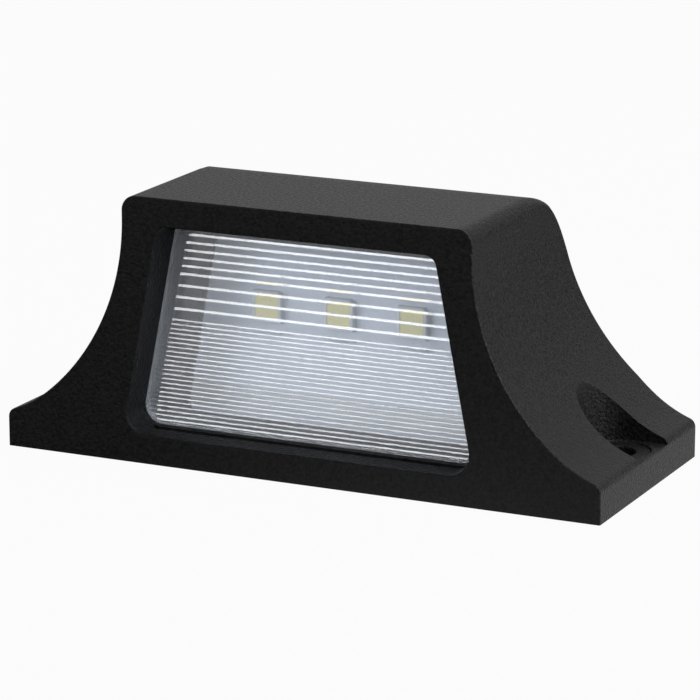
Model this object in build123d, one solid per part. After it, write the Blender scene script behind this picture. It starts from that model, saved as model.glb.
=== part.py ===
from build123d import *
import os
from math import floor, hypot, radians, tan

# Number plate lamp, in millimetres. X runs along the lamp, the window faces -Y and the base lies on Z = 0.

# Outer form of the housing
LENGTH = 100.0
DEPTH = 41.0
HEIGHT = 42.3
TOP_WIDTH = 58.4
CHEEK_HEIGHT = 3.7
TURN_INSET = 7.0
TURN_HEIGHT = 9.55
FOOT_HEIGHT = 5.8
FOOT_ROUND = 1.5
TOP_ROUND = 2.4
BACK_FOOT = 12.0
BACK_LEAN_DEG = 12.4
BACK_TOP_ROUND = 14.0
FRONT_EDGE_BREAK = 0.25
WALL = 2.5

# Window in the front wall, a trapezoid that is wider at its sill
FRAME_WALL = 1.7
HEAD_MARGIN = 4.5
HEAD_JAMB = 6.1
SILL_JAMB = 20.3
SILL_CORNER_ROUND = 3.6
HEAD_CORNER_ROUND = 1.9
LEAST_CORNER_ROUND = 0.3
RECESS_DEPTH = 5.0
RECESS_DRAFT = 0.25

# Lens, with three zones of prism ribs from its head to its sill, and the bead that seals it
LENS_THICKNESS = 3.2
LENS_GAP = 0.3
RIB_HEAD_MARGIN = 1.75
RIB_SIDE_MARGIN = 2.25
RIB_SILL_MARGIN = 1.4
UPPER_RIB_COUNT = 5
UPPER_RIB_PITCH = 1.26
MIDDLE_RIB_COUNT = 4
MIDDLE_RIB_PITCH = 1.87
BROAD_FACET = 0.3
LOWER_RIB_PITCH = 0.74
FINE_FACET = 0.21
FINE_LEDGE = 0.2
FACET_TILT_DEG = 15.0
LENS_SEAL_THICKNESS = 0.5

# Lip behind the lens, light tunnel behind the lip and the channel that takes the board
LIP_WIDTH = 2.3
LIP_THICKNESS = 2.0
TUNNEL_LENGTH = 9.9
BOARD_LAND = 1.0
BOARD_THICKNESS = 1.6
CHANNEL_GRIP = 1.3
CHANNEL_WALL = 1.4
CHANNEL_LIP = 1.2
CHANNEL_RISE = 5.5

# Screw pockets in the feet
HOLE_INSET = 6.25
HOLE_DIAMETER = 6.0
WASHER_LAND = 2.3
WASHER_SEAT_DEPTH = 0.6
POCKET_MARGIN = 0.8
POCKET_OFFSET = 1.5
POCKET_SINK = 0.7
POCKET_WALL = 1.8

# Base plate, its seal, its screws and the posts that hold the board up
PLATE_THICKNESS = 2.0
BASE_SEAL_THICKNESS = 0.8
BASE_SEAL_WIDTH = 1.0
SCREW_GAP = 0.6
SCREW_DIAMETER = 2.9
SCREW_HEAD_DIAMETER = 5.4
SCREW_LENGTH = 9.5
SCREW_DRIVE_WIDTH = 2.6
SCREW_DRIVE_SLOT = 0.7
SCREW_DRIVE_DEPTH = 0.8
BOSS_WALL = 1.45
POST_SPACING = 24.0
POST_WIDTH = 4.0

# Cable grommet in the base plate
GROMMET_INSET = 12.5
GROMMET_GROOVE = 1.8
GROMMET_FLANGE = 1.1
GROMMET_WEB = 2.0
GROMMET_WALL = 1.3
GROMMET_PAD_WALL = 2.0
CABLE_DIAMETER = 4.4

# LEDs on the front of the board
LED_PITCH = 12.4
LED_RISE = 2.25
LED_SIZE = 5.0
LED_RIM = 0.5
LED_THICKNESS = 1.5
LED_CORNER_CUT = 0.7
PHOSPHOR_DEPTH = 0.6
PHOSPHOR_CORNER_ROUND = 0.6

# Parts on the back of the board, placed from its middle
LEAD_THICKNESS = 0.25
LEAD_WIDTH = 0.45
PART_BEVEL = 0.35
CHIP_SIZE = (4.0, 5.0, 1.6)
CHIP_PLACE = (-7.5, 3.0)
CHIP_LEAD_COUNT = 4
CHIP_LEAD_PITCH = 1.27
CHIP_LEAD_REACH = 1.0
DIODE_SIZE = (4.3, 2.6, 2.2)
DIODE_PLACE = (7.5, -4.5)
DIODE_LEAD_WIDTH = 1.4
SUPPRESSOR_SIZE = (4.6, 3.6, 2.3)
SUPPRESSOR_PLACE = (-7.5, -4.5)
SUPPRESSOR_LEAD_WIDTH = 2.0
TWO_LEAD_REACH = 0.45
CAPACITOR_SIZE = (3.2, 2.5, 1.8)
CAPACITOR_PLACE = (7.5, 0.5)
CAPACITOR_BEVEL = 0.15
RESISTOR_SIZE = (3.2, 1.6, 0.6)
RESISTOR_PLACE = (7.5, 4.5)
RESISTOR_PITCH = 3.0
RESISTOR_COUNT = 2
RESISTOR_BEVEL = 0.1
PAD_WIDTH = 2.6
PAD_HEIGHT = 3.2
PAD_PITCH = 5.0
PAD_INSET = 3.1

# Fits
FIT = 0.2
SEAT = 0.05

# Planes across the lamp, from its front to the back of the channel
FRONT_Y = -DEPTH / 2
BACK_Y = DEPTH / 2
LENS_FRONT_Y = FRONT_Y + RECESS_DEPTH
FACET_SLOPE = tan(radians(FACET_TILT_DEG))
LENS_FACE_Y = LENS_FRONT_Y + max(BROAD_FACET * FACET_SLOPE, FINE_LEDGE + FINE_FACET * FACET_SLOPE)
LENS_BACK_Y = LENS_FRONT_Y + LENS_THICKNESS
LIP_Y = LENS_BACK_Y + LENS_SEAL_THICKNESS
TUNNEL_END_Y = LIP_Y + TUNNEL_LENGTH
BOARD_FRONT_Y = TUNNEL_END_Y + SEAT
BOARD_BACK_Y = BOARD_FRONT_Y + BOARD_THICKNESS
SLOT_BACK_Y = BOARD_BACK_Y + FIT
CHANNEL_BACK_Y = SLOT_BACK_Y + CHANNEL_LIP

# Window sizes, and the insets from its outline that the pieces behind it share
BASE_STACK = PLATE_THICKNESS + BASE_SEAL_THICKNESS
SILL_HEIGHT = BASE_STACK + FRAME_WALL
WINDOW_HEIGHT = HEIGHT - HEAD_MARGIN - SILL_HEIGHT
WINDOW_MIDDLE = SILL_HEIGHT + WINDOW_HEIGHT / 2
WINDOW_HEAD_WIDTH = TOP_WIDTH - 2 * HEAD_JAMB
WINDOW_SILL_WIDTH = LENGTH - 2 * SILL_JAMB
LENS_INSET = RECESS_DRAFT + LENS_GAP
BOARD_INSET = LIP_WIDTH - BOARD_LAND
SLOT_INSET = BOARD_INSET - FIT
SLEEVE_INSET = SLOT_INSET - CHANNEL_WALL
BOARD_FOOT = SILL_HEIGHT + BOARD_INSET
LED_HEIGHT = WINDOW_MIDDLE + LED_RISE
LED_FRONT_Y = BOARD_FRONT_Y - LED_THICKNESS

# Screw columns, base rim and the places of the plate's screws
HOLE_X = LENGTH / 2 - HOLE_INSET
WASHER_SEAT_RADIUS = HOLE_DIAMETER / 2 + WASHER_LAND
POCKET_RADIUS = WASHER_SEAT_RADIUS + POCKET_MARGIN
POCKET_FLOOR = FOOT_HEIGHT - POCKET_SINK
COLUMN_RADIUS = POCKET_RADIUS + POCKET_WALL
SHELF = BASE_SEAL_WIDTH + FIT
RIM = WALL - SHELF
BOSS_RADIUS = SCREW_DIAMETER / 2 + BOSS_WALL
SCREW_X = WINDOW_SILL_WIDTH / 2 + FRAME_WALL + SCREW_GAP + BOSS_RADIUS
SCREW_Y = DEPTH / 2 - WALL - SCREW_GAP - BOSS_RADIUS
SCREW_PLACES = [(x * SCREW_X, y * SCREW_Y) for x in (-1, 1) for y in (-1, 1)]
COUNTERSINK_DEPTH = (SCREW_HEAD_DIAMETER - SCREW_DIAMETER) / 2

# Grommet, with a neck through the plate's web and a flange on each side of it
GROMMET_Y = BACK_Y - GROMMET_INSET
GROMMET_NECK_RADIUS = CABLE_DIAMETER / 2 + GROMMET_WALL
GROMMET_FLANGE_RADIUS = GROMMET_NECK_RADIUS + GROMMET_GROOVE
WEB_BOTTOM = GROMMET_FLANGE + SEAT
WEB_TOP = WEB_BOTTOM + GROMMET_WEB


# Helpers


def slab(face, y_front, y_back):
    """A face drawn in the XZ plane, made solid between two Y planes."""
    return extrude(Plane.XZ.offset(-y_back) * face, y_back - y_front)


def block(x, y, z, width, depth, height):
    """A box given by the middle of its lowest face."""
    return Pos(x, y, z + height / 2) * Box(width, depth, height)


def post(x, y, z, radius, height):
    """An upright cylinder given by the middle of its lowest face."""
    return Pos(x, y, z + height / 2) * Cylinder(radius, height)


def trapezoid(sill, head, side_inset):
    """A face between two heights, with its sides in line with the window's sides or set in from them."""
    lean = (WINDOW_SILL_WIDTH - WINDOW_HEAD_WIDTH) / 2 / WINDOW_HEIGHT
    middle = WINDOW_SILL_WIDTH / 2 - side_inset * hypot(1, lean)
    low = middle - lean * (sill - SILL_HEIGHT)
    high = middle - lean * (head - SILL_HEIGHT)
    return make_face(Polyline((-low, sill), (low, sill), (high, head), (-high, head), close=True))


def window_outline(inset):
    """The window's trapezoid with its rounded corners, set in by a distance on every side."""
    face = trapezoid(SILL_HEIGHT + inset, SILL_HEIGHT + WINDOW_HEIGHT - inset, inset)
    low = face.vertices().filter_by(lambda v: v.Y < WINDOW_MIDDLE)
    face = fillet(low, max(SILL_CORNER_ROUND - inset, LEAST_CORNER_ROUND))
    high = face.vertices().sort_by(Axis.Y)[-2:]
    return fillet(high, max(HEAD_CORNER_ROUND - inset, LEAST_CORNER_ROUND))


# Housing


def side_profile(bottom):
    """Front outline of the lamp: flat top, flanks hollowed in two arcs and two low feet."""
    end = LENGTH / 2
    cheek = TOP_WIDTH / 2
    flank_top = HEIGHT - CHEEK_HEIGHT
    turn = (end - TURN_INSET, TURN_HEIGHT)
    hollow = TangentArc((cheek, flank_top), turn, tangent=(0, -1))
    right = [
        Line((end, bottom), (end, FOOT_HEIGHT)),
        TangentArc(turn, (end, FOOT_HEIGHT), tangent=hollow % 1),
        hollow,
        Line((cheek, flank_top), (cheek, HEIGHT)),
    ]
    left = [mirror(edge, about=Plane.YZ) for edge in right]
    base = Line((-end, bottom), (end, bottom))
    top = Line((-cheek, HEIGHT), (cheek, HEIGHT))
    return make_face([base, top] + right + left)


def rounded_side_profile():
    """The front outline with its foot and top corners rounded."""
    face = side_profile(0)
    feet = face.vertices().filter_by(lambda v: abs(v.Y - FOOT_HEIGHT) < SEAT)
    face = fillet(feet, FOOT_ROUND)
    tops = face.vertices().filter_by(lambda v: abs(v.Y - HEIGHT) < SEAT)
    return fillet(tops, min(TOP_ROUND, CHEEK_HEIGHT - SEAT))


def end_profile(bottom):
    """Section across the lamp: upright front, leaning back with a wide round into the top."""
    lean = (HEIGHT - BACK_FOOT) * tan(radians(BACK_LEAN_DEG))
    corners = [
        (FRONT_Y, bottom),
        (BACK_Y, bottom),
        (BACK_Y, BACK_FOOT),
        (BACK_Y - lean, HEIGHT),
        (FRONT_Y, HEIGHT),
    ]
    face = make_face(Polyline(*corners, close=True))
    crown = face.vertices().filter_by(lambda v: v.Y > HEIGHT - SEAT).sort_by(Axis.X)[-1]
    return fillet(crown, BACK_TOP_ROUND)


def outer_form():
    """The lamp's outside as one solid, with a narrow bevel along its front edges."""
    across = slab(rounded_side_profile(), FRONT_Y, BACK_Y)
    along = extrude(Plane.YZ * end_profile(0), LENGTH / 2, both=True)
    form = across & along
    front = form.edges().filter_by(lambda e: abs(e.center().Y - FRONT_Y) < SEAT)
    return chamfer(front.filter_by(lambda e: e.center().Z > SEAT), FRONT_EDGE_BREAK)


def base_opening(rim, column_radius):
    """Plan of the base inside a rim, clear of the two screw columns."""
    plan = Rectangle(LENGTH - 2 * rim, DEPTH - 2 * rim)
    for side in (-1, 1):
        plan -= Pos(side * HOLE_X, POCKET_OFFSET) * Circle(column_radius)
        plan -= Pos(side * LENGTH / 2, POCKET_OFFSET) * Rectangle(2 * HOLE_INSET, 2 * column_radius)
    return plan


def core_form():
    """The hollow of the shell, open at the base."""
    below = -2 * WALL
    section = offset(end_profile(below), -WALL, kind=Kind.INTERSECTION)
    across = slab(offset(side_profile(below), -WALL, kind=Kind.INTERSECTION), FRONT_Y, BACK_Y)
    along = extrude(Plane.YZ * section, LENGTH / 2, both=True)
    plan = Pos(0, 0, -WALL) * extrude(base_opening(WALL, COLUMN_RADIUS + SHELF), HEIGHT + WALL)
    return across & along & plan


def window_frame():
    """Frame of the recess and sleeve of the light tunnel and board channel, still without their openings."""
    frame = slab(window_outline(-FRAME_WALL), FRONT_Y, LIP_Y + LIP_THICKNESS)
    sleeve = slab(window_outline(SLEEVE_INSET), LIP_Y, CHANNEL_BACK_Y)
    middle = (TUNNEL_END_Y + CHANNEL_BACK_Y) / 2
    mouth = block(0, middle, 0, LENGTH, CHANNEL_BACK_Y - TUNNEL_END_Y, SILL_HEIGHT + CHANNEL_RISE)
    return frame + (sleeve - mouth)


def window_openings():
    """Recess, lens seat, light tunnel and board slot, to be cut through the frame."""
    mouth = Plane.XZ.offset(-FRONT_Y) * window_outline(0)
    floor_edge = Plane.XZ.offset(-LENS_FRONT_Y) * window_outline(RECESS_DRAFT)
    recess = loft([mouth.face(), floor_edge.face()], ruled=True)
    seat = slab(window_outline(RECESS_DRAFT), LENS_FRONT_Y, LIP_Y)
    tunnel = slab(window_outline(LIP_WIDTH), LIP_Y, TUNNEL_END_Y)
    slot = slab(window_outline(SLOT_INSET), TUNNEL_END_Y, SLOT_BACK_Y)
    rear = slab(window_outline(BOARD_INSET + CHANNEL_GRIP), SLOT_BACK_Y, CHANNEL_BACK_Y)
    return [recess, seat, tunnel, slot, rear]


def screw_pocket(side):
    """Pocket over one foot: a round end towards the middle, open at the end face."""
    x = side * HOLE_X
    pocket = post(x, POCKET_OFFSET, POCKET_FLOOR, POCKET_RADIUS, HEIGHT)
    pocket += block(side * LENGTH / 2, POCKET_OFFSET, POCKET_FLOOR, 2 * HOLE_INSET, 2 * POCKET_RADIUS, HEIGHT)
    pocket += post(x, POCKET_OFFSET, POCKET_FLOOR - WASHER_SEAT_DEPTH, WASHER_SEAT_RADIUS, HEIGHT)
    return pocket + post(x, POCKET_OFFSET, -WALL, HOLE_DIAMETER / 2, HEIGHT)


def make_housing():
    form = outer_form()
    shell = form - core_form()
    shell += window_frame() & form
    for opening in window_openings():
        shell -= opening
    shell -= extrude(base_opening(RIM, COLUMN_RADIUS), BASE_STACK)
    for x, y in SCREW_PLACES:
        shell += post(x, y, PLATE_THICKNESS, BOSS_RADIUS, HEIGHT) & form
        shell -= post(x, y, 0, SCREW_DIAMETER / 2 + SEAT, SCREW_LENGTH + FIT)
    for side in (-1, 1):
        shell -= screw_pocket(side)
    return shell


# Lens and its seal


def rib_section(top, pitch, facet, ledge):
    """Points of one rib from its groove: out along a ledge, down a tilted facet and back to the next groove."""
    crest = LENS_FACE_Y - ledge - facet * FACET_SLOPE
    brink = [(LENS_FACE_Y - ledge, top)] if ledge > 0 else []
    return brink + [(crest, top - facet), (LENS_FACE_Y, top - pitch)]


def make_lens():
    """Flat plate with a field of prism ribs in three pitches, coarse at the head and fine at the sill."""
    head = SILL_HEIGHT + WINDOW_HEIGHT - RIB_HEAD_MARGIN
    middle_top = head - UPPER_RIB_COUNT * UPPER_RIB_PITCH
    lower_top = middle_top - MIDDLE_RIB_COUNT * MIDDLE_RIB_PITCH
    lower_count = floor((lower_top - SILL_HEIGHT - RIB_SILL_MARGIN) / LOWER_RIB_PITCH)
    end = lower_top - lower_count * LOWER_RIB_PITCH
    points = [(LENS_FACE_Y, head)]
    for i in range(UPPER_RIB_COUNT):
        points += rib_section(head - i * UPPER_RIB_PITCH, UPPER_RIB_PITCH, BROAD_FACET, 0)
    for i in range(MIDDLE_RIB_COUNT):
        points += rib_section(middle_top - i * MIDDLE_RIB_PITCH, MIDDLE_RIB_PITCH, BROAD_FACET, 0)
    for i in range(lower_count):
        points += rib_section(lower_top - i * LOWER_RIB_PITCH, LOWER_RIB_PITCH, FINE_FACET, FINE_LEDGE)
    root = (LENS_FACE_Y + LENS_BACK_Y) / 2
    section = make_face(Polyline(*points, (root, end), (root, head), close=True))
    ribs = extrude(Plane.YZ * section, LENGTH / 2, both=True)
    field = slab(trapezoid(end, head, RIB_SIDE_MARGIN), LENS_FRONT_Y, LENS_BACK_Y)
    plate = slab(window_outline(LENS_INSET), LENS_FACE_Y, LENS_BACK_Y)
    return plate + (ribs & field)


def make_lens_seal():
    outside = slab(window_outline(LENS_INSET), LENS_BACK_Y, LIP_Y)
    return outside - slab(window_outline(LIP_WIDTH), LENS_BACK_Y, LIP_Y)


# Board and the parts on it


def make_board():
    return slab(window_outline(BOARD_INSET), BOARD_FRONT_Y, BOARD_BACK_Y)


def make_phosphor(x):
    width = LED_SIZE - 2 * LED_RIM
    face = Pos(x, LED_HEIGHT) * RectangleRounded(width, width, PHOSPHOR_CORNER_ROUND)
    return slab(face, LED_FRONT_Y, LED_FRONT_Y + PHOSPHOR_DEPTH)


def make_led(x):
    """White package with a square well for the phosphor and one cut corner."""
    face = Pos(x, LED_HEIGHT) * Rectangle(LED_SIZE, LED_SIZE)
    mark = face.vertices().sort_by(Axis.X)[-2:].sort_by(Axis.Y)[-1]
    package = slab(chamfer(mark, LED_CORNER_CUT), LED_FRONT_Y, BOARD_FRONT_Y)
    return package - make_phosphor(x)


def rear_part(place, size, bevel):
    """A moulded part on the back of the board with a bevelled outer face."""
    face = Pos(place[0], WINDOW_MIDDLE + place[1]) * Rectangle(size[0], size[1])
    body = slab(face, BOARD_BACK_Y, BOARD_BACK_Y + size[2])
    rim = body.faces().sort_by(Axis.Y)[-1].edges()
    return chamfer(rim, bevel)


def lead(x, z, width, height):
    """A flat tinned lead that lies on the back of the board."""
    return slab(Pos(x, z) * Rectangle(width, height), BOARD_BACK_Y, BOARD_BACK_Y + LEAD_THICKNESS)


def make_driver_chip():
    chip = rear_part(CHIP_PLACE, CHIP_SIZE, PART_BEVEL)
    for i in range(CHIP_LEAD_COUNT):
        z = WINDOW_MIDDLE + CHIP_PLACE[1] + (i - (CHIP_LEAD_COUNT - 1) / 2) * CHIP_LEAD_PITCH
        chip += lead(CHIP_PLACE[0], z, CHIP_SIZE[0] + 2 * CHIP_LEAD_REACH, LEAD_WIDTH)
    return chip


def two_lead_part(place, size, lead_width):
    body = rear_part(place, size, PART_BEVEL)
    return body + lead(place[0], WINDOW_MIDDLE + place[1], size[0] + 2 * TWO_LEAD_REACH, lead_width)


def make_sense_resistors():
    x, z = RESISTOR_PLACE
    return Compound(children=[
        rear_part((x, z + i * RESISTOR_PITCH), RESISTOR_SIZE, RESISTOR_BEVEL) for i in range(RESISTOR_COUNT)
    ])


def make_solder_pads():
    z = BOARD_FOOT + PAD_INSET + PAD_HEIGHT / 2
    return Compound(children=[lead(side * PAD_PITCH / 2, z, PAD_WIDTH, PAD_HEIGHT) for side in (-1, 1)])


# Base plate, its seal, its screws and the grommet


def screw_form(clearance):
    """Countersunk screw with its head at the bottom, larger all round by a clearance."""
    shank = SCREW_DIAMETER / 2 + clearance
    head = SCREW_HEAD_DIAMETER / 2 + clearance
    screw = post(0, 0, 0, shank, SCREW_LENGTH + clearance)
    return screw + Pos(0, 0, COUNTERSINK_DEPTH / 2) * Cone(head, shank, COUNTERSINK_DEPTH)


def make_base_plate():
    plate = extrude(base_opening(RIM + FIT, COLUMN_RADIUS + FIT), PLATE_THICKNESS)
    plate += post(0, GROMMET_Y, 0, GROMMET_FLANGE_RADIUS + FIT + GROMMET_PAD_WALL, WEB_TOP)
    middle = (TUNNEL_END_Y + SLOT_BACK_Y) / 2
    for side in (-1, 1):
        plate += block(side * POST_SPACING / 2, middle, 0, POST_WIDTH, BOARD_THICKNESS, BOARD_FOOT - SEAT)
    for x, y in SCREW_PLACES:
        plate -= Pos(x, y, 0) * screw_form(SEAT)
    plate -= post(0, GROMMET_Y, 0, GROMMET_FLANGE_RADIUS + FIT, WEB_BOTTOM)
    return plate - post(0, GROMMET_Y, 0, GROMMET_NECK_RADIUS + SEAT, WEB_TOP)


def make_base_seal():
    ring = base_opening(RIM + FIT, COLUMN_RADIUS + FIT) - base_opening(WALL, COLUMN_RADIUS + SHELF)
    return Pos(0, 0, PLATE_THICKNESS) * extrude(ring, BASE_SEAL_THICKNESS)


def make_plate_screws():
    screw = screw_form(0)
    for turn in (0, 90):
        slot = block(0, 0, 0, SCREW_DRIVE_WIDTH, SCREW_DRIVE_SLOT, SCREW_DRIVE_DEPTH)
        screw -= Rot(0, 0, turn) * slot
    return Compound(children=[Pos(x, y, 0) * screw for x, y in SCREW_PLACES])


def make_grommet():
    """Rubber grommet with a flange on each side of the plate's web and a bore for the cable."""
    grommet = post(0, GROMMET_Y, SEAT, GROMMET_FLANGE_RADIUS, GROMMET_FLANGE)
    grommet += post(0, GROMMET_Y, SEAT, GROMMET_NECK_RADIUS, WEB_TOP)
    grommet += post(0, GROMMET_Y, WEB_TOP, GROMMET_FLANGE_RADIUS, GROMMET_FLANGE)
    return grommet - post(0, GROMMET_Y, 0, CABLE_DIAMETER / 2, WEB_TOP + 2 * GROMMET_FLANGE)


# Every node of the lamp

nodes = {
    "housing": make_housing(),
    "lens": make_lens(),
    "lens_seal": make_lens_seal(),
    "circuit_board": make_board(),
    "driver_chip": make_driver_chip(),
    "polarity_diode": two_lead_part(DIODE_PLACE, DIODE_SIZE, DIODE_LEAD_WIDTH),
    "surge_suppressor": two_lead_part(SUPPRESSOR_PLACE, SUPPRESSOR_SIZE, SUPPRESSOR_LEAD_WIDTH),
    "input_capacitor": rear_part(CAPACITOR_PLACE, CAPACITOR_SIZE, CAPACITOR_BEVEL),
    "sense_resistors": make_sense_resistors(),
    "solder_pads": make_solder_pads(),
    "base_plate": make_base_plate(),
    "base_seal": make_base_seal(),
    "plate_screws": make_plate_screws(),
    "cable_grommet": make_grommet(),
}
for name, x in (("left", -LED_PITCH), ("centre", 0), ("right", LED_PITCH)):
    nodes[f"led_{name}"] = make_led(x)
    nodes[f"phosphor_{name}"] = make_phosphor(x)

os.makedirs("parts", exist_ok=True)
for name, solid in nodes.items():
    export_step(solid, f"parts/{name}.step")
    print(name, round(solid.volume, 1))
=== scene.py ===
# %% [markdown]
# # A number plate lamp
# This small car part is a black moulded housing with a clear ribbed lens in its front and three LEDs behind
# the lens. The solid model is loaded first, as a fixed frame. Every piece below is drawn in that same
# frame, in millimetres, so each one goes where its sizes put it and nothing has to be moved afterwards.

# %% Load the solid model
from math import asin, atan, cos, degrees, hypot, pi, radians, sin, sqrt, tan

import bmesh
import bpy
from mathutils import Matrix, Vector


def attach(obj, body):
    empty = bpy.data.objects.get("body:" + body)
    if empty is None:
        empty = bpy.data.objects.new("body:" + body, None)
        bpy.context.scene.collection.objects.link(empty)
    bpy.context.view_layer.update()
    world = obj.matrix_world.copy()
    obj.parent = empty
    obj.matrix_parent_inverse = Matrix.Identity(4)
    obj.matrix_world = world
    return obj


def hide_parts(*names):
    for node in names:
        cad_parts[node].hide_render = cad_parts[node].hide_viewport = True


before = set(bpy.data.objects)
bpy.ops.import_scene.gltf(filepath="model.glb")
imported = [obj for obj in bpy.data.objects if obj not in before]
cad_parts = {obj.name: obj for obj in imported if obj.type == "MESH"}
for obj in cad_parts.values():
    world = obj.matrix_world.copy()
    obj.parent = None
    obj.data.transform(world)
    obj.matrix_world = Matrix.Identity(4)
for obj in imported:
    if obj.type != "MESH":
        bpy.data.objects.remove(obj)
scene = bpy.context.scene
scene.view_settings.view_transform = "Standard"
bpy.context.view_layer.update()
print("nodes in the solid model:", len(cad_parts))

# %% [markdown]
# ## The camera
# The lamp is photographed from a little above and from its right, with a long lens, so its edges stay
# almost parallel. Yaw and pitch are the two turns that a photographer would read off a tripod head.

# %% Camera
YAW, PITCH = radians(25.3317), radians(14.5652)
STANDPOINT = (0.23806, -0.50335, 0.16092)
camera_data = bpy.data.cameras.new("camera")
camera_data.sensor_width = 36.0
camera_data.lens = 189.8
camera = bpy.data.objects.new("camera", camera_data)
camera.location = STANDPOINT
camera.rotation_euler = (pi / 2 - PITCH, 0.0, YAW)
scene.collection.objects.link(camera)
scene.camera = camera
print("camera distance in metres:", round(camera.location.length, 3))

# %% [markdown]
# ## Tools for every material
# Colours are picked as sRGB hex codes, as a paint chart gives them, and shaders want linear light. One
# function converts them. A second one adds a node, sets what it should be, and links the sockets that are
# fed by others. A third starts a material whose patterns are counted in millimetres.

# %% Colour and node helpers
# Sockets of a Mix node that is set to colours. Their names are shared with sockets for other kinds of value.
MIX_SHARE, MIX_FIRST, MIX_SECOND, MIX_RESULT = 0, 6, 7, 2


def linear(code):
    """Linear colour with full alpha from an sRGB hex code."""
    levels = [int(code[i:i + 2], 16) / 255 for i in (1, 3, 5)]
    return [c / 12.92 if c <= 0.04045 else ((c + 0.055) / 1.055) ** 2.4 for c in levels] + [1.0]


def add(tree, kind, inputs=None, **settings):
    """Add a node to a tree, with its settings and with its inputs filled or linked."""
    new = tree.nodes.new(kind)
    for name, value in settings.items():
        setattr(new, name, value)
    for name, value in (inputs or {}).items():
        if isinstance(value, bpy.types.NodeSocket):
            tree.links.new(value, new.inputs[name])
        else:
            new.inputs[name].default_value = value
    return new


def new_material(name):
    """An empty material, its tree, and the place on the object counted in millimetres."""
    material = bpy.data.materials.new(name)
    material.use_nodes = True
    tree = material.node_tree
    tree.nodes.clear()
    place = add(tree, "ShaderNodeTexCoord").outputs["Object"]
    in_mm = add(tree, "ShaderNodeMapping", {"Vector": place, "Scale": (1000, 1000, 1000)})
    return material, tree, in_mm.outputs["Vector"]


print("white stays white:", linear("#ffffff"))

# %% [markdown]
# ## Black ABS of the housing
# The housing is injection moulded in a steel tool with a fine spark-eroded texture. That gives the eye a
# deep black that is never mirror-like: a soft grey sheen where it is seen at a flat angle, broken up by a
# grain. The real grain is too fine to show from here, so it is drawn at about half a millimetre. It drives
# the bump, and with it the tone and the roughness.

# %% Moulded ABS
GRAIN = 0.45
moulded_abs, tree, place = new_material("moulded_black_abs")
grain = add(tree, "ShaderNodeTexNoise", {
    "Vector": place,
    "Scale": 1 / GRAIN,
    "Detail": 2.0,
    "Roughness": 0.6,
})
# From the dips of the grain to its tips
span = {"Value": grain.outputs["Fac"], "From Min": 0.3, "From Max": 0.7}
share = add(tree, "ShaderNodeMapRange", span)
rough = add(tree, "ShaderNodeMapRange", {**span, "To Min": 0.34, "To Max": 0.56})
tone = add(tree, "ShaderNodeMix", {
    MIX_SHARE: share.outputs["Result"],
    MIX_FIRST: linear("#050506"),
    MIX_SECOND: linear("#1e1e1f"),
}, data_type="RGBA")
bump = add(tree, "ShaderNodeBump", {"Height": grain.outputs["Fac"], "Strength": 1.0, "Distance": 0.0002})
skin = add(tree, "ShaderNodeBsdfPrincipled", {
    "Base Color": tone.outputs[MIX_RESULT],
    "Roughness": rough.outputs["Result"],
    "Normal": bump.outputs["Normal"],
    "Specular IOR Level": 0.13,
})
add(tree, "ShaderNodeOutputMaterial", {"Surface": skin.outputs["BSDF"]})
print(moulded_abs.name, "grain in mm:", GRAIN)

# %% [markdown]
# ## Clear polycarbonate of the lens
# Lamp lenses are moulded in polycarbonate, which bends light more than window glass and has a polished skin
# with faint flow marks. A tenth of the light is scattered, a slight haze that veils what lies behind.
# Cycles would keep the lamps from shining straight through a refracting solid, so for shadow rays alone the
# lens is made clear, and the white board behind it gets its light.

# %% Polycarbonate
FLOW, INDEX, CLARITY = 4.0, 1.586, 0.9
polycarbonate, tree, place = new_material("clear_polycarbonate")
flow = add(tree, "ShaderNodeTexNoise", {"Vector": place, "Scale": 1 / FLOW, "Detail": 2.0})
polish = add(tree, "ShaderNodeMapRange", {"Value": flow.outputs["Fac"], "To Min": 0.03, "To Max": 0.1})
glass = add(tree, "ShaderNodeBsdfPrincipled", {
    "Base Color": linear("#f3f7fc"),
    "Roughness": polish.outputs["Result"],
    "IOR": INDEX,
    "Transmission Weight": CLARITY,
})
path = add(tree, "ShaderNodeLightPath").outputs
clear = add(tree, "ShaderNodeBsdfTransparent", {"Color": linear("#eef2f8")})
lens_mix = add(tree, "ShaderNodeMixShader", {
    0: path["Is Shadow Ray"],
    1: glass.outputs["BSDF"],
    2: clear.outputs["BSDF"],
})
add(tree, "ShaderNodeOutputMaterial", {"Surface": lens_mix.outputs["Shader"]})
print(polycarbonate.name, "IOR:", INDEX)

# %% [markdown]
# ## Board and LED finishes
# The board is glass-fibre laminate under white solder mask, whose surface faintly repeats the weave of the
# cloth. The LED packages are a white moulding, and their wells are filled with silicone full of yellow
# phosphor. These finishes share one pattern: two close colours with a little unevenness, and a roughness
# that follows it.

# %% Board and LED finishes
def uneven(name, dark, light, size, rough, relief, **sockets):
    """A material between two close colours. Its pattern, of a size in mm, also moves roughness and bump."""
    material, tree, place = new_material(name)
    pattern = add(tree, "ShaderNodeTexNoise", {"Vector": place, "Scale": 1 / size, "Detail": 3.0})
    level = pattern.outputs["Fac"]
    tone = add(tree, "ShaderNodeMix", {
        MIX_SHARE: level,
        MIX_FIRST: linear(dark),
        MIX_SECOND: linear(light),
    }, data_type="RGBA")
    sheen = add(tree, "ShaderNodeMapRange", {"Value": level, "To Min": rough[0], "To Max": rough[1]})
    bump = add(tree, "ShaderNodeBump", {"Height": level, "Strength": 0.3, "Distance": relief / 1000})
    surface = add(tree, "ShaderNodeBsdfPrincipled", {
        "Base Color": tone.outputs[MIX_RESULT],
        "Roughness": sheen.outputs["Result"],
        "Normal": bump.outputs["Normal"],
        **sockets,
    })
    add(tree, "ShaderNodeOutputMaterial", {"Surface": surface.outputs["BSDF"]})
    return material


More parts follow.
